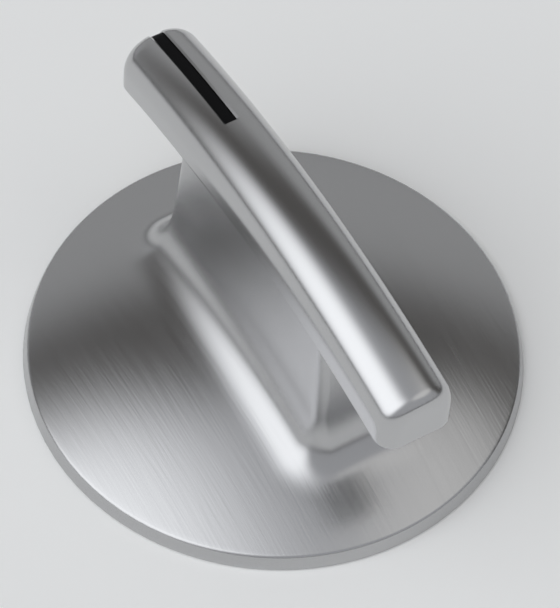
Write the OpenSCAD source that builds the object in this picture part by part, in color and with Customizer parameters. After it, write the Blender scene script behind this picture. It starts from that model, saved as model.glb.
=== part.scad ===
// Appliance control knob: a round skirt with an upright pedestal, and an arched finger bar on top.
// Millimetres. +Z runs up the shaft axis, the bar lies along Y, and its indicator is at the +Y end.
// The origin is on the shaft axis, in the plane of the rim's foot.

/* [Skirt] */
// Diameter over the foot of the rim
skirt_d = 58; // [56:0.5:60]
// Height of the upright band round the rim
rim_h = 2.3; // [2:0.1:2.8]
// How far the band leans in from its foot to its top
rim_lean = 0.35; // [0.1:0.05:0.6]
// Radius of the edge between the band and the slope
rim_edge_r = 0.6; // [0.4:0.1:0.9]
// Rise of the sloping top from the rim's edge to the axis
skirt_rise = 5.2; // [5:0.1:5.6]
// Shape of the slope: 1 is a straight cone, 2 is a round dome
skirt_power = 2.1; // [1.8:0.1:2.4]
// Wall of the skirt
skirt_wall = 1.5; // [1.2:0.1:1.6]

/* [Pedestal] */
// Width across the pedestal, under the bar
ped_w = 8.7; // [8.4:0.1:9.2]
// Length of the pedestal, under the bar
ped_l = 31; // [30.6:0.2:32]
// How far each flank leans out from the bar down to the skirt
ped_lean = 1.1; // [0.5:0.1:1.4]
// How far each end leans out from the bar down to the skirt
ped_end_lean = 1.8; // [1:0.2:2.6]
// Radius of the upright corners under the bar
ped_corner_r = 1.1; // [0.8:0.1:2]
// Radius of the same corners where they reach the skirt
ped_low_corner_r = 1.8; // [1.2:0.1:2.4]
// Reach of the hollow fillet that runs round the foot
foot_r = 4.2; // [3.4:0.1:4.6]
// Height of that fillet
foot_h = 5; // [4:0.2:6]

/* [Finger bar] */
// Length of the bar
bar_l = 58.6; // [56:0.2:60]
// Width of the bar
bar_w = 9.5; // [9.2:0.1:10]
// Height of the bar's flat sides, below its rounded top
bar_side_h = 2.1; // [1.8:0.1:2.6]
// Height of the rounded top
crown_h = 4.5; // [4:0.1:4.8]
// Shape of the rounded top: 2 is an ellipse, and more than 2 is flatter with fuller shoulders
crown_power = 2.4; // [2:0.1:2.8]
// Height of the bar's underside above the rim's foot, at the middle of the arch
bar_z = 25.3; // [24.5:0.1:26.5]
// Radius of the arched underside
arch_r = 125; // [110:5:150]
// Bevel between the bar's top and its ends
bar_bevel = 1.1; // [0.8:0.1:1.6]
// Radius of the upright corners at the bar's ends
bar_end_r = 2.2; // [1.5:0.1:3]
// Bevel of the long lower edges
bar_edge = 0.3; // [0.2:0.05:0.4]

/* [Indicator] */
// Width of the indicator slot
slot_w = 1.5; // [1.2:0.1:2]
// Distance from the shaft axis to the closed end of the slot
slot_start = 12; // [11:0.5:16]
// Depth of the slot below the crown of the bar
slot_depth = 1.3; // [1.1:0.1:1.6]
// How far the black strip lies below the crown
strip_sink = 0.3; // [0.2:0.05:0.5]

/* [Shaft socket] */
// Radius of the round mouth of the socket
mouth_r = 4.05; // [4.02:0.01:4.1]
// Radius of the D-shaped part of the socket
socket_r = 3.03; // [3.01:0.01:3.04]
// Distance from the shaft axis to the flat of the D
socket_flat = 1.6; // [1.5:0.05:1.7]
// Height at which the D-shaped part begins
socket_step_z = 5.5; // [5.4:0.1:5.7]
// Height at which the socket ends
socket_end_z = 12; // [11.5:0.1:12.2]

/* [Hidden] */
$fn = 64;

// Skirt outline, from the rim's edge inwards
skirt_r = skirt_d / 2;
edge_cr = skirt_r - rim_lean - rim_edge_r;
edge_cz = rim_h - rim_edge_r;
slope_deg = atan(skirt_rise * skirt_power / edge_cr);
edge_r = edge_cr + rim_edge_r * sin(slope_deg);
edge_z = edge_cz + rim_edge_r * cos(slope_deg);
rim_in_r = skirt_r - skirt_wall;
rim_foot_r = 0.2;
rim_in_bevel = 0.8;

// Inside of the shell, with a flat seat for the hub round the shaft axis
flange_r = 8;
flange_t = 1.2;
seat_r = flange_r + 0.6;
seat_z = skirt_z(seat_r) - skirt_wall;
flange_z = seat_z - flange_t;
roof_z = 20.4;
step_z = 13.2;
hall_l = 23;
lower_hall_w = 7.9;
upper_hall_w = 6.2;
hall_corner_r = 1;

// Bar
bar_h = bar_side_h + crown_h;
arch_cz = bar_z - arch_r;
crown_r = arch_r + bar_h;
strip_gap = 0.02;
end_spare = 0.1;

// Fasteners
m3_r = 1.5;
m3_fit = 0.02;
m3_clear_r = 1.7;
m3_head_r = 2.7;
m3_head_h = 2;
cross_w = 0.7;
cross_l = 3;
cross_depth = 1.1;
screw_tip = 0.6;
head_bevel = 0.5;
hole_spare = 0.4;
washer_h = 0.6;
washer_gap = 0.5;
handle_screw_y = 8.8;
handle_screw_end_z = 29;
dowel_r = 1;
dowel_y = 13.2;
dowel_z = 21.4;
dowel_l = 6;
carrier_screw_y = 14;
carrier_screw_end_z = 10.4;
carrier_seat_z = 2.4;

// Carrier
carrier_r = 23;
carrier_gap = 0.1;
carrier_t = 1.4;
carrier_foot_z = 0.5;
collar_r = 5.25;
collar_wall = 1.65;
dish_r = 10;
boss_r = 4;
rib_t = 1.2;
rib_count = 8;
rib_end_r = carrier_r - 1.2;

// Hub
hub_foot_z = 1.6;
hub_top_z = 13;
hub_w = 7.8;
hub_l = 13.2;
barrel_r = 5.2;
mouth_chamfer = 0.3;
seal_t = 0.65;

// Leaf spring and its pin
leaf_t = 0.4;
leaf_w = 3;
leaf_eye = [3.3, 6.4];
leaf_eye_r = 0.8;
leaf_bow = [1.45, 9.8];
leaf_tip = [2.5, 12];
pin_r = 0.4;
pin_fit = 0.01;
leaf_fit = 0.03;
pin_l = 7.2;
pocket_w = 3.4;
pocket_y = 4.4;

// Height of the skirt's top at a distance from the axis
function skirt_z(r) = edge_z + skirt_rise * (1 - pow(r / edge_r, skirt_power));
// Height of the skirt's underside at the same distance
function under_z(r) = skirt_z(max(r, seat_r)) - skirt_wall;
// Points along an arc, from angle a to angle b
function arc(c, r, a, b, n) = [for (i = [0:n]) c + r * [cos(a + (b - a) * i / n), sin(a + (b - a) * i / n)]];

// Outline of a rectangle with rounded corners, half sizes a and b, with n points on each corner
function round_rect(a, b, r, n, along_x, along_y) = concat(
    arc([a - r, b - r], r, 0, 90, n),
    [for (i = [1:along_x - 1]) [a - r - 2 * (a - r) * i / along_x, b]],
    arc([r - a, b - r], r, 90, 180, n),
    [for (i = [1:along_y - 1]) [-a, b - r - 2 * (b - r) * i / along_y]],
    arc([r - a, r - b], r, 180, 270, n),
    [for (i = [1:along_x - 1]) [r - a + 2 * (a - r) * i / along_x, -b]],
    arc([a - r, r - b], r, 270, 360, n),
    [for (i = [1:along_y - 1]) [a, r - b + 2 * (b - r) * i / along_y]]);

// The pedestal is a stack of rings: upright walls first, then the hollow fillet down to the skirt
ped_wall_steps = 4;
ped_foot_steps = 7;
ped_top_z = bar_z + 1;
ped_sunk = 0.8;
fillet_t = 1 - foot_h / (ped_top_z - skirt_z(0));

// Outline of the pedestal at level t, 0 above the bar's joint and 1 on the skirt, grown outwards by d
function ped_outline(t, d) = round_rect(
    ped_w / 2 + ped_lean * t * t + d,
    ped_l / 2 + ped_end_lean * t + d,
    ped_corner_r + (ped_low_corner_r - ped_corner_r) * t + d, 6, 3, 12);
function ped_ring(t, d) = [for (p = ped_outline(t, d))
    [p.x, p.y, t * skirt_z(norm(p)) + (1 - t) * ped_top_z]];
function foot_ring(a) = ped_ring(1 - (1 - fillet_t) * (1 - sin(a)), foot_r * (1 - cos(a)));
function sunk_ring() = [for (p = ped_outline(1, foot_r)) [p.x, p.y, skirt_z(norm(p)) - ped_sunk]];
ped_rings = concat(
    [for (i = [0:ped_wall_steps - 1]) ped_ring(fillet_t * i / ped_wall_steps, 0)],
    [for (i = [0:ped_foot_steps]) foot_ring(90 * i / ped_foot_steps)],
    [sunk_ring()]);

// Closes a stack of rings, listed from the top down, into one solid
module ring_stack(rings) {
    n = len(rings[0]);
    m = len(rings);
    top_centre = [0, 0, rings[0][0].z];
    low_centre = [0, 0, rings[m - 1][0].z - 1];
    sides = [for (k = [0:m - 2]) for (i = [0:n - 1]) each [
        [k * n + i, (k + 1) * n + (i + 1) % n, (k + 1) * n + i],
        [k * n + i, k * n + (i + 1) % n, (k + 1) * n + (i + 1) % n]]];
    top = [for (i = [0:n - 1]) [n * m + 1, (i + 1) % n, i]];
    bottom = [for (i = [0:n - 1]) [n * m, (m - 1) * n + i, (m - 1) * n + (i + 1) % n]];
    polyhedron(points = concat([for (r = rings) each r], [low_centre, top_centre]),
               faces = concat(sides, top, bottom));
}

// Rectangle with round corners, in the plane
module slot_shape(w, l, r) {
    square([w - 2 * r, l], center = true);
    square([w, l - 2 * r], center = true);
    for (x = [-1, 1]) for (y = [-1, 1]) translate([x * (w / 2 - r), y * (l / 2 - r)]) circle(r);
}

// Copies its children to +Y and -Y
module both_ends(y) {
    for (s = [-1, 1]) translate([0, s * y, 0]) children();
}

// Turns a section, drawn as [distance from the arch's centre, x], along the arch between two y places
module along_arch(y0, y1) {
    a0 = asin(y0 / crown_r);
    a1 = asin(y1 / crown_r);
    translate([0, 0, arch_cz]) rotate([0, -90, 0]) rotate([0, 0, a0])
        rotate_extrude(angle = a1 - a0, $fn = 128) children();
}

// Skirt seen in section, from the axis outwards
module skirt_section() {
    n = 8;
    top = [for (i = [0:n]) let (r = edge_r * i / n) [r, skirt_z(r)]];
    edge = arc([edge_cr, edge_cz], rim_edge_r, 90 - slope_deg, 0, 4);
    foot = [[skirt_r - rim_foot_r / 3, rim_foot_r], [skirt_r - rim_foot_r, 0]];
    polygon(concat([[0, 0]], top, [for (i = [1:len(edge) - 1]) edge[i]],
                   [[skirt_r, rim_foot_r * 2]], foot));
}

// Hollow under the skirt in section
module hollow_section() {
    n = 6;
    end_r = rim_in_r - rim_in_bevel;
    roof = [for (i = [0:n]) let (r = seat_r + (end_r - seat_r) * i / n) [r, under_z(r)]];
    polygon(concat([[0, -1], [0, seat_z]], roof,
                   [[rim_in_r, under_z(end_r) - rim_in_bevel], [rim_in_r, -1]]));
}

module skirt_shell() {
    color([0.72, 0.72, 0.72]) difference() {
        union() {
            rotate_extrude() skirt_section();
            intersection() {
                ring_stack(ped_rings);
                translate([0, 0, arch_cz]) rotate([0, 90, 0])
                    cylinder(r = arch_r, h = 60, center = true, $fn = 256);
            }
        }
        rotate_extrude() hollow_section();
        linear_extrude(step_z) slot_shape(lower_hall_w, hall_l, hall_corner_r);
        linear_extrude(roof_z) slot_shape(upper_hall_w, hall_l, hall_corner_r);
        both_ends(handle_screw_y) cylinder(r = m3_clear_r, h = bar_z + 1);
        both_ends(dowel_y) translate([0, 0, dowel_z]) cylinder(r = dowel_r + m3_fit, h = dowel_l);
        both_ends(carrier_screw_y) cylinder(r = m3_r + m3_fit, h = carrier_screw_end_z + hole_spare);
    }
}

// One point of the bar's rounded top, at an angle from the crown
function crown_point(a) = [
    arch_r + bar_side_h + crown_h * pow(cos(a), 2 / crown_power),
    sign(a) * bar_w / 2 * pow(abs(sin(a)), 2 / crown_power)];

// Section of the bar: a rounded top on flat sides, with eased lower edges
module bar_section() {
    half = bar_w / 2;
    polygon(concat(
        [[arch_r, bar_edge - half], [arch_r + bar_edge, -half], [arch_r + bar_side_h, -half]],
        [for (a = [-85:5:85]) crown_point(a)],
        [[arch_r + bar_side_h, half], [arch_r + bar_edge, half], [arch_r, half - bar_edge]]));
}

// Section of the indicator slot, between two depths below the crown
module slot_section(w, deep, shallow) {
    translate([crown_r - deep, -w / 2]) square([deep - shallow, w]);
}

// Long eight-sided outline that bevels the ends of a bar, and is wider than the bar by spare between them
module bevelled_ends(half_w, half_l, bevel, spare) {
    over = half_w + spare;
    shoulder = half_l - bevel - spare;
    tip = half_w - bevel;
    polygon([[over, -shoulder], [over, shoulder], [tip, half_l], [-tip, half_l],
             [-over, shoulder], [-over, -shoulder], [-tip, -half_l], [tip, -half_l]]);
}

module handle_bar() {
    end_top_z = arch_cz + sqrt(pow(crown_r, 2) - pow(bar_l / 2, 2));
    color([0.76, 0.76, 0.77]) difference() {
        intersection() {
            along_arch(-bar_l / 2 - 3, bar_l / 2 + 3) bar_section();
            linear_extrude(2 * bar_z) slot_shape(bar_w + 2 * end_spare, bar_l, bar_end_r);
            rotate([90, 0, 90]) linear_extrude(2 * bar_w, center = true) rotate([0, 0, 90])
                bevelled_ends(end_top_z, bar_l / 2, bar_bevel, bar_h);
        }
        along_arch(slot_start, bar_l / 2 + 4) slot_section(slot_w, slot_depth, -1);
        both_ends(handle_screw_y) translate([0, 0, roof_z])
            cylinder(r = m3_r + m3_fit, h = handle_screw_end_z + hole_spare - roof_z);
        both_ends(dowel_y) translate([0, 0, dowel_z])
            cylinder(r = dowel_r + m3_fit, h = dowel_l + hole_spare);
    }
}

module indicator_strip() {
    color([0.02, 0.02, 0.02]) intersection() {
        along_arch(slot_start + strip_gap, bar_l / 2 + 2)
            slot_section(slot_w - 2 * strip_gap, slot_depth - strip_gap, strip_sink);
        translate([-bar_w, 0, 0]) cube([2 * bar_w, bar_l / 2 - strip_sink, 2 * bar_z]);
    }
}

// A cross-recessed pan-head screw, pointing up, with the underside of its head at the origin
module screw(shank_l) {
    difference() {
        union() {
            cylinder(r = m3_r, h = shank_l - screw_tip);
            translate([0, 0, shank_l - screw_tip])
                cylinder(r1 = m3_r, r2 = m3_r - head_bevel, h = screw_tip);
            translate([0, 0, head_bevel - m3_head_h]) cylinder(r = m3_head_r, h = m3_head_h - head_bevel);
            translate([0, 0, -m3_head_h])
                cylinder(r1 = m3_head_r - head_bevel, r2 = m3_head_r, h = head_bevel);
        }
        for (a = [0, 90]) rotate([0, 0, a]) translate([0, 0, cross_depth / 2 - m3_head_h])
            cube([cross_l, cross_w, cross_depth + 0.02], center = true);
    }
}

module handle_screws() {
    head_z = roof_z - washer_h;
    color([0.62, 0.62, 0.64]) both_ends(handle_screw_y) translate([0, 0, head_z])
        screw(handle_screw_end_z - head_z);
}

module lock_washers() {
    color([0.45, 0.45, 0.47]) both_ends(handle_screw_y) translate([0, 0, roof_z - washer_h])
        difference() {
            cylinder(r = m3_head_r, h = washer_h);
            translate([0, 0, -1]) cylinder(r = m3_r + 0.1, h = washer_h + 2);
            translate([0, -washer_gap / 2, -1]) cube([m3_head_r + 1, washer_gap, washer_h + 2]);
        }
}

module dowel_pins() {
    color([0.6, 0.6, 0.62]) both_ends(dowel_y) translate([0, 0, dowel_z]) cylinder(r = dowel_r, h = dowel_l);
}

// Points on a line that runs below the shell, from one radius to another
function below_shell(r0, r1, depth, n) = [for (i = [0:n]) let (r = r0 + (r1 - r0) * i / n)
    [r, under_z(r) - depth]];

// The moulded carrier in section: a dish that lies under the skirt, with a collar at its centre
module carrier_section() {
    collar_out_r = collar_r + collar_wall;
    pocket_r = flange_r + carrier_gap;
    polygon(concat(
        [[collar_r, carrier_foot_z], [collar_out_r, carrier_foot_z],
         [collar_out_r, flange_z - carrier_t], [flange_r, flange_z - carrier_t]],
        below_shell(dish_r, carrier_r, carrier_gap + carrier_t, 4),
        below_shell(carrier_r, dish_r, carrier_gap, 4),
        [[pocket_r, seat_z - carrier_gap], [pocket_r, flange_z], [collar_r, flange_z]]));
}

// One rib below the dish
module carrier_rib() {
    start_r = collar_r + collar_wall / 2;
    plate_z = flange_z - carrier_t / 2;
    rotate([90, 0, 0]) linear_extrude(rib_t, center = true)
        polygon(concat([[start_r, carrier_foot_z], [rib_end_r, carrier_foot_z]],
                       below_shell(rib_end_r, dish_r, carrier_gap + carrier_t / 2, 3),
                       [[flange_r, plate_z], [start_r, plate_z]]));
}

module carrier() {
    color([0.06, 0.06, 0.065]) difference() {
        union() {
            rotate_extrude() carrier_section();
            for (i = [0:rib_count - 1]) rotate([0, 0, (i + 0.5) * 360 / rib_count]) carrier_rib();
            both_ends(carrier_screw_y) translate([0, 0, carrier_foot_z])
                cylinder(r = boss_r, h = under_z(carrier_screw_y + boss_r) - carrier_gap - carrier_foot_z);
        }
        both_ends(carrier_screw_y) cylinder(r = m3_head_r + 0.2, h = carrier_seat_z);
        both_ends(carrier_screw_y) cylinder(r = m3_clear_r, h = seat_z);
    }
}

module carrier_screws() {
    color([0.62, 0.62, 0.64]) both_ends(carrier_screw_y) translate([0, 0, carrier_seat_z])
        screw(carrier_screw_end_z - carrier_seat_z);
}

module stem_hub() {
    color([0.66, 0.67, 0.69]) difference() {
        union() {
            translate([0, 0, hub_foot_z]) cylinder(r = barrel_r, h = seat_z - hub_foot_z);
            translate([0, 0, flange_z]) cylinder(r = flange_r, h = seat_z - flange_z);
            translate([0, 0, flange_z]) linear_extrude(hub_top_z - flange_z)
                slot_shape(hub_w, hub_l, hall_corner_r);
        }
        translate([0, 0, hub_foot_z]) cylinder(r1 = mouth_r + mouth_chamfer, r2 = mouth_r, h = mouth_chamfer);
        cylinder(r = mouth_r, h = socket_step_z);
        linear_extrude(socket_end_z) difference() {
            circle(socket_r);
            translate([-socket_r, socket_flat]) square(2 * socket_r);
        }
        translate([-pocket_w / 2, 0, socket_step_z]) cube([pocket_w, pocket_y, hub_top_z]);
        translate([0, leaf_eye.x, leaf_eye.y]) rotate([0, 90, 0])
            cylinder(r = pin_r + pin_fit, h = hub_w + 1, center = true);
    }
}

// A straight run of the spring's strip, seen from the side, between two points of its middle line
module strip_run(p, q) {
    d = q - p;
    translate(p) rotate(atan2(d.y, d.x)) translate([0, -leaf_t / 2]) square([norm(d), leaf_t]);
}

// Flat spring with a rolled eye at its foot and a bow that presses on the shaft's flat
module stem_spring() {
    root = leaf_eye - [leaf_eye_r - leaf_t / 2, 0];
    color([0.5, 0.52, 0.56]) rotate([90, 0, 90]) linear_extrude(leaf_w, center = true) difference() {
        union() {
            translate(leaf_eye) circle(leaf_eye_r);
            strip_run(root, leaf_bow);
            strip_run(leaf_bow, leaf_tip);
            translate(leaf_bow) circle(leaf_t / 2);
            translate(leaf_tip) circle(leaf_t / 2);
        }
        translate(leaf_eye) circle(pin_r + leaf_fit);
    }
}

module spring_pin() {
    color([0.6, 0.6, 0.62]) translate([0, leaf_eye.x, leaf_eye.y]) rotate([0, 90, 0])
        cylinder(r = pin_r, h = pin_l, center = true);
}

module stem_seal() {
    color([0.15, 0.15, 0.15]) translate([0, 0, carrier_foot_z]) difference() {
        cylinder(r = barrel_r, h = hub_foot_z - carrier_foot_z);
        translate([0, 0, -1]) cylinder(r = barrel_r - seal_t, h = hub_foot_z + 2);
    }
}

skirt_shell();
handle_bar();
indicator_strip();
handle_screws();
lock_washers();
dowel_pins();
carrier();
carrier_screws();
stem_hub();
stem_spring();
spring_pin();
stem_seal();
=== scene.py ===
"""Looks of the appliance control knob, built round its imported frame.

Metres, +Z up the shaft axis, the bar along Y with its indicator at +Y, origin in the plane of the rim's foot.
"""

import math
from collections import namedtuple

import bmesh
import bpy
import numpy as np
from mathutils import Matrix, Vector


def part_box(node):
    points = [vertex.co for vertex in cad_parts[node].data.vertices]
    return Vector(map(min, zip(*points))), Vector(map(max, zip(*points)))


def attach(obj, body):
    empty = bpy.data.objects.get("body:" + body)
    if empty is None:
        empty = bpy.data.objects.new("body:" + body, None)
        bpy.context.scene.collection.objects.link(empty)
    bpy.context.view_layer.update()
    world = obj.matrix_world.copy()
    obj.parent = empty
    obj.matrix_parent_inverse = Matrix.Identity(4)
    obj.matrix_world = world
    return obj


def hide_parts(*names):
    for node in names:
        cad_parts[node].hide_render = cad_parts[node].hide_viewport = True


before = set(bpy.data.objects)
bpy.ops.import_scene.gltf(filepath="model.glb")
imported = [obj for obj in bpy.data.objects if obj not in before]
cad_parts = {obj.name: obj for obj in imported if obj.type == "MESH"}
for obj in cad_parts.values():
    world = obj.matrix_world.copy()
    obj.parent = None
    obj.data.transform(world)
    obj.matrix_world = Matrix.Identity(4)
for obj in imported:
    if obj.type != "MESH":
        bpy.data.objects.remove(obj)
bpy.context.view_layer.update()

# ---------------------------------------------------------------- driving sizes
MM = 0.001
shell_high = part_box("skirt_shell")[1]
bar_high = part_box("handle_bar")[1]

SKIRT_R = shell_high.x
RIM_H = 2.3 * MM
RIM_LEAN = 0.35 * MM
RIM_EDGE_R = 0.6 * MM
RIM_FOOT_R = 0.2 * MM
RIM_IN_BEVEL = 0.8 * MM
RIM_IN_EASE = 0.15 * MM
# Rounding of the rim's foot: how far in from the rim, and how far up
RIM_FOOT_STEPS = ((0.02 * MM, 0.22 * MM), (0.09 * MM, 0.08 * MM), (0.22 * MM, 0))
SKIRT_RISE = 5.2 * MM
SKIRT_POWER = 2.1
SKIRT_WALL = 1.5 * MM

PED_HALF_W = 4.35 * MM
PED_HALF_L = 15.6 * MM
PED_CORNER_R = 1.1 * MM
PED_LOW_CORNER_R = 1.8 * MM
PED_LEAN = 1.1 * MM
PED_END_LEAN = 1.8 * MM
FOOT_REACH = 5.6 * MM
FOOT_H = 6.0 * MM
FOOT_BLEND = 1.5
JOINT_RELIEF = 0.22 * MM

BAR_HALF_W = bar_high.x
BAR_HALF_L = bar_high.y
BAR_SIDE_H = 2.1 * MM
CROWN_H = 4.5 * MM
CROWN_POWER = 2.4
BAR_H = BAR_SIDE_H + CROWN_H
ARCH_R = 125 * MM
ARCH_CZ = bar_high.z - ARCH_R - BAR_H
END_FILLET = 1.4 * MM
END_CORNER_R = 2.2 * MM
LOWER_FILLET = 0.35 * MM

SLOT_HALF_W = 0.75 * MM
SLOT_START = 12 * MM
SLOT_DEPTH = 1.3 * MM
SLOT_CHAMFER = 0.22 * MM
STRIP_SINK = 0.38 * MM
STRIP_GAP = 0.02 * MM
STRIP_EASE = 0.08 * MM
STRIP_LEAD = 1 * MM
STRIP_SHORT = 0.42 * MM

HALL_HALF_L = 11.5 * MM
LOWER_HALL_HALF_W = 3.95 * MM
UPPER_HALL_HALF_W = 3.1 * MM
HALL_CORNER_R = 1.0 * MM
HALL_END_STEP = 0.4 * MM
STEP_Z = 13.2 * MM
ROOF_Z = 20.4 * MM
SEAT_R = 8.6 * MM

# ---------------------------------------------------------------- outlines of the shell
edge_cr = SKIRT_R - RIM_LEAN - RIM_EDGE_R
edge_cz = RIM_H - RIM_EDGE_R
slope = math.atan(SKIRT_RISE * SKIRT_POWER / edge_cr)
edge_r = edge_cr + RIM_EDGE_R * math.sin(slope)
edge_z = edge_cz + RIM_EDGE_R * math.cos(slope)


def skirt_z(r):
    """Height of the skirt's top at a distance from the axis."""
    return edge_z + SKIRT_RISE * (1 - (r / edge_r) ** SKIRT_POWER)


def under_z(r):
    """Height of the skirt's underside, which is flat round the hub."""
    return skirt_z(np.maximum(r, SEAT_R)) - SKIRT_WALL


def arch_z(y):
    """Height of the arched joint between the pedestal and the bar."""
    return ARCH_CZ + np.sqrt(ARCH_R ** 2 - y ** 2)


CORNER_STEPS = 14
SHORT_STEPS = 10
LONG_STEPS = 34


def round_rect(half_w, half_l, radius):
    """Outline of a rectangle with round corners, with the same number of points whatever its size."""
    points = []
    for k, (sx, sy) in enumerate(((1, 1), (-1, 1), (-1, -1), (1, -1))):
        centre = np.array([sx * (half_w - radius), sy * (half_l - radius)])
        angles = np.radians(90 * k + np.linspace(0, 90, CORNER_STEPS + 1))
        corner = centre + radius * np.stack([np.cos(angles), np.sin(angles)], 1)
        points.extend(corner)
        across = k % 2 == 0
        steps = SHORT_STEPS if across else LONG_STEPS
        nsx, nsy = (-sx, sy) if across else (sx, -sy)
        short_x, short_y = (radius, 0) if across else (0, radius)
        goal = np.array([nsx * (half_w - short_x), nsy * (half_l - short_y)])
        start = corner[-1]
        points.extend(start + (goal - start) * i / steps for i in range(1, steps))
    return np.array(points)


def lift(flat, z):
    """Gives a flat outline its heights."""
    return np.column_stack([flat, np.broadcast_to(z, len(flat))])


def radial(flat, r):
    """Moves each point of an outline along its own ray, onto a circle."""
    return flat * (r / np.linalg.norm(flat, axis=1))[:, None]


def pedestal_ring(level, grow):
    """Ring round the pedestal: level is 0 at the bar's joint and 1 on the skirt; grow widens it all round."""
    flat = round_rect(PED_HALF_W + PED_LEAN * level ** 2 + grow,
                      PED_HALF_L + PED_END_LEAN * level + grow,
                      PED_CORNER_R + (PED_LOW_CORNER_R - PED_CORNER_R) * level + grow)
    top, low = arch_z(flat[:, 1]), skirt_z(np.linalg.norm(flat, axis=1))
    return lift(flat, level * low + (1 - level) * top)


# Levels at which the relief under the bar ends and the pedestal's flank begins
RELIEF_LEVEL = 0.012
FLANK_LEVEL = 0.02
FLANK_STEPS = 18
FILLET_STEPS = 36
SKIRT_STEPS = 30
RIM_STEPS = 9
ROOF_STEPS = 10


def pedestal_rings():
    """From under the bar down the flank and through the fillet.

    A fine relief under the bar draws the dark line of the joint.
    """
    fillet_level = 1 - FOOT_H / (arch_z(0) - skirt_z(0))
    rings = [pedestal_ring(0, -JOINT_RELIEF), pedestal_ring(RELIEF_LEVEL, -JOINT_RELIEF)]
    rings += [pedestal_ring(level, 0) for level in np.linspace(FLANK_LEVEL, fillet_level, FLANK_STEPS)]
    # the blend power lets the fillet run out into the skirt with no edge
    for a in np.radians(np.linspace(0, 90, FILLET_STEPS))[1:]:
        left = (1 - fillet_level) * (1 - math.sin(a)) ** FOOT_BLEND
        rings.append(pedestal_ring(1 - left, FOOT_REACH * (1 - math.cos(a))))
    return rings


def skirt_rings(foot):
    """From the fillet's foot out over the skirt to the start of the edge radius."""
    edge = radial(foot, edge_r)
    flats = [foot + (edge - foot) * i / SKIRT_STEPS for i in range(1, SKIRT_STEPS + 1)]
    return [lift(flat, skirt_z(np.linalg.norm(flat, axis=1))) for flat in flats]


def rim_rings(foot):
    """Edge radius, the leaning band tangent to it, and the rim's foot."""
    rings = []
    foot_point = np.array([SKIRT_R, 2 * RIM_FOOT_R])
    reach = foot_point - (edge_cr, edge_cz)
    band_start = math.atan2(reach[1], reach[0]) + math.acos(RIM_EDGE_R / np.linalg.norm(reach))
    for i in range(1, RIM_STEPS + 1):
        a = (math.pi / 2 - slope) + (band_start - math.pi / 2 + slope) * i / RIM_STEPS
        edge = radial(foot, edge_cr + RIM_EDGE_R * math.cos(a))
        rings.append(lift(edge, edge_cz + RIM_EDGE_R * math.sin(a)))
    outward = np.array([math.cos(band_start), math.sin(band_start)])
    top_of_band = np.array([edge_cr, edge_cz]) + RIM_EDGE_R * outward
    for t in (0.33, 0.67, 1):
        r, z = top_of_band + (foot_point - top_of_band) * t
        rings.append(lift(radial(foot, r), z))
    return rings + [lift(radial(foot, SKIRT_R - step), z) for step, z in RIM_FOOT_STEPS]


def hollow_rings(foot):
    """Inner wall of the rim, the roof of the hollow, and the two-step hall inside the pedestal."""
    inner_r = SKIRT_R - SKIRT_WALL
    roof_r = inner_r - RIM_IN_BEVEL
    wall_top = under_z(roof_r) - RIM_IN_BEVEL
    profile = ((inner_r + RIM_IN_EASE, 0), (inner_r, RIM_IN_EASE),
               (inner_r, wall_top), (roof_r, under_z(roof_r)))
    rings = [lift(radial(foot, r), z) for r, z in profile]
    hall = round_rect(LOWER_HALL_HALF_W, HALL_HALF_L, HALL_CORNER_R)
    rim = radial(foot, roof_r)
    for i in range(1, ROOF_STEPS + 1):
        flat = rim + (hall - rim) * i / ROOF_STEPS
        rings.append(lift(flat, under_z(np.linalg.norm(flat, axis=1))))
    upper = round_rect(UPPER_HALL_HALF_W, HALL_HALF_L - HALL_END_STEP, HALL_CORNER_R)
    return rings + [lift(hall, STEP_Z), lift(upper, STEP_Z), lift(upper, ROOF_Z)]


def shell_rings():
    """Every ring of the shell's skin, from under the bar, down and out over the skirt, and back inside."""
    rings = pedestal_rings()
    foot = rings[-1][:, :2]
    return rings + skirt_rings(foot) + rim_rings(foot) + hollow_rings(foot)


def skin(name, rings):
    """Mesh object from a stack of rings with equal numbers of points, each end closed by a fan."""
    count = len(rings[0])
    verts = np.concatenate(rings)
    faces = []
    for k in range(len(rings) - 1):
        a, b = k * count, (k + 1) * count
        for i in range(count):
            j = (i + 1) % count
            faces.append((a + i, b + i, b + j, a + j))
    top, low = len(verts), len(verts) + 1
    last = (len(rings) - 1) * count
    verts = np.vstack([verts, rings[0].mean(0), rings[-1].mean(0)])
    for i in range(count):
        j = (i + 1) % count
        faces.append((top, i, j))
        faces.append((low, last + j, last + i))
    return mesh_object(name, verts, faces)


WELD_DISTANCE = 0.0005 * MM
SHARP_DEG = 28


def weld(mesh):
    """Joins points that coincide, as two rings do at the slot's start, so that no face has no area."""
    work = bmesh.new()
    work.from_mesh(mesh)
    bmesh.ops.remove_doubles(work, verts=work.verts, dist=WELD_DISTANCE)
    bmesh.ops.dissolve_degenerate(work, edges=work.edges, dist=WELD_DISTANCE)
    bmesh.ops.recalc_face_normals(work, faces=work.faces)
    work.to_mesh(mesh)
    work.free()


def mesh_object(name, verts, faces):
    """Smooth-shaded object whose edges stay sharp where the faces meet at more than SHARP_DEG."""
    mesh = bpy.data.meshes.new(name)
    mesh.from_pydata([tuple(v) for v in verts], [], faces)
    weld(mesh)
    mesh.polygons.foreach_set("use_smooth", [True] * len(mesh.polygons))
    mesh.set_sharp_from_angle(angle=math.radians(SHARP_DEG))
    obj = bpy.data.objects.new(name, mesh)
    bpy.context.scene.collection.objects.link(obj)
    return obj


# ---------------------------------------------------------------- the bar and its slot
STRAIGHT_END = BAR_HALF_L - END_CORNER_R
SLOT_FLOOR = BAR_H - SLOT_DEPTH


def inset(y, radius):
    """How far a fillet of some radius round the bar's ends has drawn the skin in at a place along the bar."""
    past = max(0.0, abs(y) - (BAR_HALF_L - radius))
    return radius - math.sqrt(max(0.0, radius ** 2 - past ** 2))


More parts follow.
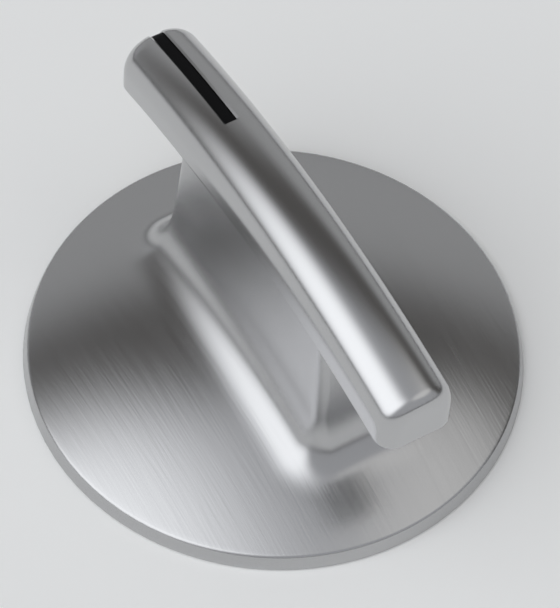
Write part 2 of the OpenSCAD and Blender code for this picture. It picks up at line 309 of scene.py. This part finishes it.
def underside_h(x, y):
    """Height of the underside, which is flat but for a small radius all round its edge."""
    qx = abs(x) - (BAR_HALF_W - END_CORNER_R)
    qy = abs(y) - (BAR_HALF_L - END_CORNER_R)
    depth = END_CORNER_R - math.hypot(max(qx, 0), max(qy, 0)) - min(max(qx, qy), 0)
    past = max(0.0, LOWER_FILLET - max(depth, 0.0))
    return LOWER_FILLET - math.sqrt(LOWER_FILLET ** 2 - past ** 2)


def bar_section(y, slot):
    """Half of the bar's section as (x, height), from the middle of the underside up to the crown.

    slot is "none", "start" (only as deep as its bevel) or "open".
    """
    half_w = BAR_HALF_W - inset(y, END_CORNER_R)
    rise = CROWN_H - inset(y, END_FILLET)

    def crown_h(x):
        return BAR_SIDE_H + rise * (1 - (x / half_w) ** CROWN_POWER) ** (1 / CROWN_POWER)

    corner = [half_w - LOWER_FILLET * (1 - math.cos(a)) for a in np.radians(np.linspace(90, 0, 7))]
    flat = list(np.linspace(0, half_w - LOWER_FILLET, 5)[:-1])
    points = [(x, underside_h(x, y)) for x in flat + corner]
    points += [(half_w, h) for h in np.linspace(LOWER_FILLET, BAR_SIDE_H, 7)[1:]]
    brink = SLOT_HALF_W + SLOT_CHAMFER
    stop = math.acos((brink / half_w) ** (CROWN_POWER / 2))
    for a in np.linspace(0, stop, 34)[1:]:
        x = half_w * math.cos(a) ** (2 / CROWN_POWER)
        points.append((x, BAR_SIDE_H + rise * math.sin(a) ** (2 / CROWN_POWER)))
    across = [SLOT_HALF_W, 0.85 * SLOT_HALF_W, 0.4 * SLOT_HALF_W, 0]
    if slot == "none":
        return points + [(x, crown_h(x)) for x in across]
    bevel_h = crown_h(SLOT_HALF_W) - SLOT_CHAMFER
    if slot == "start":
        return points + [(x, bevel_h) for x in across]
    wall_h = min(SLOT_FLOOR, crown_h(SLOT_HALF_W))
    floor = [(x, min(SLOT_FLOOR, crown_h(x))) for x in across[2:]]
    return points + [(SLOT_HALF_W, max(bevel_h, wall_h)), (SLOT_HALF_W, wall_h)] + floor


def along_bar(section, y):
    """Stands a section up at a place along the arch."""
    return np.array([(x, y, ARCH_CZ + math.sqrt((ARCH_R + h) ** 2 - y ** 2)) for x, h in section])


def bar_ring(y, slot="none"):
    half = bar_section(y, slot)
    return along_bar(half + [(-x, h) for x, h in half[-2:0:-1]], y)


def bar_rings():
    end_places = [STRAIGHT_END + END_CORNER_R * math.sin(a) for a in np.radians(np.linspace(0, 90, 20))]
    places = [-y for y in end_places[::-1]]
    places += list(np.linspace(-STRAIGHT_END, SLOT_START - SLOT_CHAMFER, 42)[1:])
    rings = [bar_ring(y) for y in places]
    rings += [bar_ring(SLOT_START, "start"), bar_ring(SLOT_START, "open")]
    slot_places = list(np.linspace(SLOT_START, STRAIGHT_END, 18)[1:-1]) + end_places
    return rings + [bar_ring(y, "open") for y in slot_places]


FACE_MARGIN = 0.97


def with_face_margin(rings):
    """Adds a slightly smaller copy of each end ring, which keeps the flat end faces flat in the shading."""
    def shrink(ring):
        centre = ring.mean(0)
        return centre + (ring - centre) * (FACE_MARGIN, 1, FACE_MARGIN)
    return [shrink(rings[0])] + rings + [shrink(rings[-1])]


def strip_rings():
    """The black inlay, which follows the crown and stops just short of the bar's end."""
    half_w = SLOT_HALF_W - STRIP_GAP
    floor = SLOT_FLOOR + STRIP_GAP
    start = SLOT_START + STRIP_GAP
    rows = [(start, -STRIP_EASE), (start + STRIP_EASE, 0)]
    rows += [(y, 0) for y in np.linspace(SLOT_START + STRIP_LEAD, STRAIGHT_END, 16)]
    rows += [(y, -inset(y, END_FILLET)) for y in np.linspace(STRAIGHT_END, BAR_HALF_L - STRIP_SHORT, 8)[1:]]
    rings = []
    for y, drop in rows:
        top = BAR_H - STRIP_SINK + drop
        eased = half_w - STRIP_EASE
        section = [(half_w, floor), (half_w, top - STRIP_EASE), (eased, top), (0, top + STRIP_GAP),
                   (-eased, top), (-half_w, top - STRIP_EASE), (-half_w, floor), (0, floor)]
        rings.append(along_bar(section, y))
    return rings


# ---------------------------------------------------------------- materials
def new_material(name):
    mat = bpy.data.materials.new(name)
    mat.use_nodes = True
    return mat, mat.node_tree.nodes, mat.node_tree.links, mat.node_tree.nodes["Principled BSDF"]


def noise(nodes, links, vector, scale, detail, rough):
    node = nodes.new("ShaderNodeTexNoise")
    node.inputs["Scale"].default_value = scale
    node.inputs["Detail"].default_value = detail
    node.inputs["Roughness"].default_value = rough
    links.new(vector, node.inputs["Vector"])
    return node.outputs["Fac"]


def mapped(nodes, links, scale=(1, 1, 1), turn_deg=0.0):
    coord = nodes.new("ShaderNodeTexCoord")
    mapping = nodes.new("ShaderNodeMapping")
    mapping.inputs["Scale"].default_value = scale
    mapping.inputs["Rotation"].default_value = (0, 0, math.radians(turn_deg))
    links.new(coord.outputs["Object"], mapping.inputs["Vector"])
    return mapping.outputs["Vector"]


def remap(nodes, links, value, low, high):
    node = nodes.new("ShaderNodeMapRange")
    node.inputs["To Min"].default_value = low
    node.inputs["To Max"].default_value = high
    links.new(value, node.inputs["Value"])
    return node.outputs["Result"]


def bump(nodes, links, shader, height, distance):
    node = nodes.new("ShaderNodeBump")
    node.inputs["Strength"].default_value = 1.0
    node.inputs["Distance"].default_value = distance
    links.new(height, node.inputs["Height"])
    links.new(node.outputs["Normal"], shader.inputs["Normal"])


# Brush marks of the skirt: a few tenths of a millimetre wide and several millimetres long
BRUSH_SCALE = (3000, 110, 110)
# Grain of the bar: too fine to see one by one
GRAIN_SCALE = (12000, 6000, 12000)
ROUGHNESS_SPREAD = 0.04


def satin_metal(name, colour, roughness, anisotropy, scale, brush_turn_deg, depth, detail):
    """Metal brushed in straight lines along Y, turned by an angle: reflections smear across the lines."""
    mat, nodes, links, shader = new_material(name)
    shader.inputs["Base Color"].default_value = (*colour, 1)
    shader.inputs["Metallic"].default_value = 1.0
    shader.inputs["Anisotropic"].default_value = anisotropy
    turn = math.radians(brush_turn_deg)
    across = nodes.new("ShaderNodeVectorMath")
    across.operation = "CROSS_PRODUCT"
    across.inputs[1].default_value = (math.sin(turn), math.cos(turn), 0)
    links.new(nodes.new("ShaderNodeNewGeometry").outputs["Normal"], across.inputs[0])
    links.new(across.outputs["Vector"], shader.inputs["Tangent"])
    fine = noise(nodes, links, mapped(nodes, links, scale, brush_turn_deg), 1.0, detail, 0.6)
    spread = remap(nodes, links, fine, roughness - ROUGHNESS_SPREAD, roughness + ROUGHNESS_SPREAD)
    links.new(spread, shader.inputs["Roughness"])
    bump(nodes, links, shader, fine, depth)
    return mat


def plain_material(name, colour, metallic, rough_low, rough_high, scale, depth, gloss=0.5):
    mat, nodes, links, shader = new_material(name)
    shader.inputs["Base Color"].default_value = (*colour, 1)
    shader.inputs["Metallic"].default_value = metallic
    grain = noise(nodes, links, mapped(nodes, links), scale, 4.0, 0.5)
    links.new(remap(nodes, links, grain, rough_low, rough_high), shader.inputs["Roughness"])
    bump(nodes, links, shader, grain, depth)
    shader.inputs["Specular IOR Level"].default_value = gloss
    return mat


BRUSH_TURN_DEG = 8
skirt_metal = satin_metal("satin_skirt", (0.52, 0.52, 0.525), 0.25, 0.45,
                          BRUSH_SCALE, BRUSH_TURN_DEG, 9e-6, 1.5)
bar_metal = satin_metal("satin_bar", (0.54, 0.54, 0.545), 0.22, 0.15, GRAIN_SCALE, 0, 0.01e-6, 3.0)
strip_black = plain_material("indicator_black", (0.003, 0.003, 0.0035), 0.0, 0.5, 0.65, 2500, 4e-6, 0.12)
KEPT = {
    "handle_screws": plain_material("screw_steel", (0.55, 0.55, 0.57), 1.0, 0.25, 0.4, 1500, 1e-6),
    "lock_washers": plain_material("washer_steel", (0.40, 0.40, 0.42), 1.0, 0.3, 0.45, 1500, 1e-6),
    "dowel_pins": plain_material("pin_steel", (0.55, 0.55, 0.57), 1.0, 0.2, 0.3, 1500, 1e-6),
    "carrier": plain_material("black_nylon", (0.02, 0.02, 0.022), 0.0, 0.45, 0.65, 2200, 12e-6),
    "carrier_screws": plain_material("carrier_screw_steel", (0.55, 0.55, 0.57), 1.0, 0.25, 0.4, 1500, 1e-6),
    "stem_hub": plain_material("cast_hub", (0.45, 0.46, 0.48), 1.0, 0.35, 0.55, 900, 8e-6),
    "stem_spring": plain_material("spring_steel", (0.30, 0.32, 0.37), 1.0, 0.2, 0.35, 1200, 1e-6),
    "spring_pin": plain_material("spring_pin_steel", (0.55, 0.55, 0.57), 1.0, 0.2, 0.3, 1500, 1e-6),
    "stem_seal": plain_material("silicone", (0.05, 0.05, 0.05), 0.0, 0.55, 0.75, 1800, 6e-6),
}
for node, mat in KEPT.items():
    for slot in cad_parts[node].material_slots:
        slot.material = mat

# ---------------------------------------------------------------- pieces
shell = skin("satin_shell", shell_rings())
shell.data.materials.append(skirt_metal)
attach(shell, "knob")
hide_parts("skirt_shell")

bar = skin("finger_bar", with_face_margin(bar_rings()))
bar.data.materials.append(bar_metal)
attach(bar, "knob")
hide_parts("handle_bar")

strip = skin("indicator_inlay", strip_rings())
strip.data.materials.append(strip_black)
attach(strip, "knob")
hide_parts("indicator_strip")

# ---------------------------------------------------------------- floor, light and camera
floor_mesh = bpy.data.meshes.new("floor")
FLOOR_HALF = 3.0
corners = [(x * FLOOR_HALF, y * FLOOR_HALF, 0) for x, y in ((-1, -1), (1, -1), (1, 1), (-1, 1))]
floor_mesh.from_pydata(corners, [], [(0, 1, 2, 3)])
floor = bpy.data.objects.new("floor", floor_mesh)
bpy.context.scene.collection.objects.link(floor)
floor_mat, _, _, floor_shader = new_material("floor_white")
floor_shader.inputs["Base Color"].default_value = (0.97, 0.97, 0.96, 1)
floor_shader.inputs["Roughness"].default_value = 0.9
floor_shader.inputs["Specular IOR Level"].default_value = 0.0
floor_mesh.materials.append(floor_mat)


def heading(azimuth, elevation):
    """Unit vector towards a compass direction: azimuth 0 is +Y, 90 is +X."""
    a, e = math.radians(azimuth), math.radians(elevation)
    return Vector((math.sin(a) * math.cos(e), math.cos(a) * math.cos(e), math.sin(e)))


Source = namedtuple("Source", "azimuth elevation half_w half_h softness colour")
FAR_FILL = Source(45, 20, 75, 34, 0.6, (0.43, 0.435, 0.44))
SOFTBOX = Source(-88, 43, 33, 38, 0.9, (1.68, 1.71, 1.75))
NEAR_FILL = Source(118, 58, 22, 14, 0.6, (0.85, 0.85, 0.84))
# How square the sources are: 2 is an ellipse
SOURCE_POWER = 2.5
TENT = (0.49, 0.50, 0.52)
# A long dark flag between the softbox and the far fill gives the metal its contrast
FLAG = (0.085, 0.08, 0.075)
FLAG_POLE = (26, -33)
FLAG_HALF_ANGLE = 12.5
FLAG_SOFTNESS = 0.6
FLAG_END = -0.1
HORIZON = (0.07, 0.07, 0.075)
HORIZON_HALF_HEIGHT = 0.09
HORIZON_SOFTNESS = 0.5
# Sockets of the Mix node for colours, whose names are shared with its other types
MIX_FACTOR, MIX_UNDER, MIX_OVER, MIX_RESULT = 0, 6, 7, 2


def build_world():
    """Plain soft studio: a pale tent, one softbox, two fills and a dark flag."""
    world = bpy.data.worlds.new("studio")
    bpy.context.scene.world = world
    world.use_nodes = True
    nodes, links = world.node_tree.nodes, world.node_tree.links
    towards = nodes.new("ShaderNodeTexCoord").outputs["Generated"]

    def maths(operation, a, b=None):
        node = nodes.new("ShaderNodeMath")
        node.operation = operation
        for socket, value in zip(node.inputs, (a, b)):
            if isinstance(value, (int, float)):
                socket.default_value = value
            elif value is not None:
                links.new(value, socket)
        return node.outputs["Value"]

    def along(axis):
        node = nodes.new("ShaderNodeVectorMath")
        node.operation = "DOT_PRODUCT"
        node.inputs[1].default_value = axis
        links.new(towards, node.inputs[0])
        return node.outputs["Value"]

    def fade(value, edge, softness):
        """1 where value is well under edge, 0 where it is well over it."""
        node = nodes.new("ShaderNodeMapRange")
        node.interpolation_type = "SMOOTHSTEP"
        node.inputs["From Min"].default_value = edge * (1 - softness)
        node.inputs["From Max"].default_value = edge * (1 + softness)
        node.inputs["To Min"].default_value = 1
        node.inputs["To Max"].default_value = 0
        links.new(value, node.inputs["Value"])
        return node.outputs["Result"]

    def paint(under, colour, factor):
        node = nodes.new("ShaderNodeMix")
        node.data_type = "RGBA"
        node.inputs[MIX_OVER].default_value = (*colour, 1)
        links.new(factor, node.inputs[MIX_FACTOR])
        if isinstance(under, tuple):
            node.inputs[MIX_UNDER].default_value = (*under, 1)
        else:
            links.new(under, node.inputs[MIX_UNDER])
        return node.outputs[MIX_RESULT]

    def add_source(under, source):
        centre = heading(source.azimuth, source.elevation)
        side = heading(source.azimuth + 90, 0)
        rise = side.cross(centre)
        across = maths("DIVIDE", along(side), math.sin(math.radians(source.half_w)))
        upwards = maths("DIVIDE", along(rise), math.sin(math.radians(source.half_h)))
        spread = maths("ADD", maths("POWER", maths("ABSOLUTE", across), SOURCE_POWER),
                       maths("POWER", maths("ABSOLUTE", upwards), SOURCE_POWER))
        near = maths("GREATER_THAN", along(centre), 0.0)
        return paint(under, source.colour, maths("MULTIPLY", fade(spread, 1.0, source.softness), near))

    look = add_source(TENT, FAR_FILL)
    tilt = maths("ABSOLUTE", along(heading(*FLAG_POLE)))
    far_side = maths("GREATER_THAN", along(heading(FLAG_POLE[0], 0)), FLAG_END)
    flag = maths("MULTIPLY", fade(tilt, math.sin(math.radians(FLAG_HALF_ANGLE)), FLAG_SOFTNESS), far_side)
    look = paint(look, FLAG, flag)
    look = add_source(add_source(look, SOFTBOX), NEAR_FILL)
    level_band = fade(maths("ABSOLUTE", along((0, 0, 1))), HORIZON_HALF_HEIGHT, HORIZON_SOFTNESS)
    look = paint(look, HORIZON, level_band)
    links.new(look, nodes["Background"].inputs["Color"])


build_world()

CAMERA_AZIMUTH = -34.3
CAMERA_ELEVATION = 54.85
CAMERA_ROLL = 4.5
CAMERA_DISTANCE = 0.490
CAMERA_LENS = 271.8
SENSOR_WIDTH = 36
CLIP_START = 0.01
CAMERA_SIDE = 0.75 * MM
CAMERA_RISE = 6.15 * MM
camera_data = bpy.data.cameras.new("camera")
camera_data.sensor_fit = "HORIZONTAL"
camera_data.sensor_width = SENSOR_WIDTH
camera_data.lens = CAMERA_LENS
camera_data.clip_start = CLIP_START
camera = bpy.data.objects.new("camera", camera_data)
bpy.context.scene.collection.objects.link(camera)
a, e, roll = (math.radians(v) for v in (CAMERA_AZIMUTH, CAMERA_ELEVATION, CAMERA_ROLL))
back = Vector((math.sin(a) * math.cos(e), -math.cos(a) * math.cos(e), math.sin(e)))
level = Vector((0, 0, 1)).cross(back).normalized()
upright = back.cross(level)
right = math.cos(roll) * level + math.sin(roll) * upright
up = math.cos(roll) * upright - math.sin(roll) * level
turn = Matrix((right, up, back)).transposed().to_4x4()
stand = right * CAMERA_SIDE + up * CAMERA_RISE + back * CAMERA_DISTANCE
camera.matrix_world = Matrix.Translation(stand) @ turn
bpy.context.scene.camera = camera
bpy.context.scene.view_settings.view_transform = "Standard"
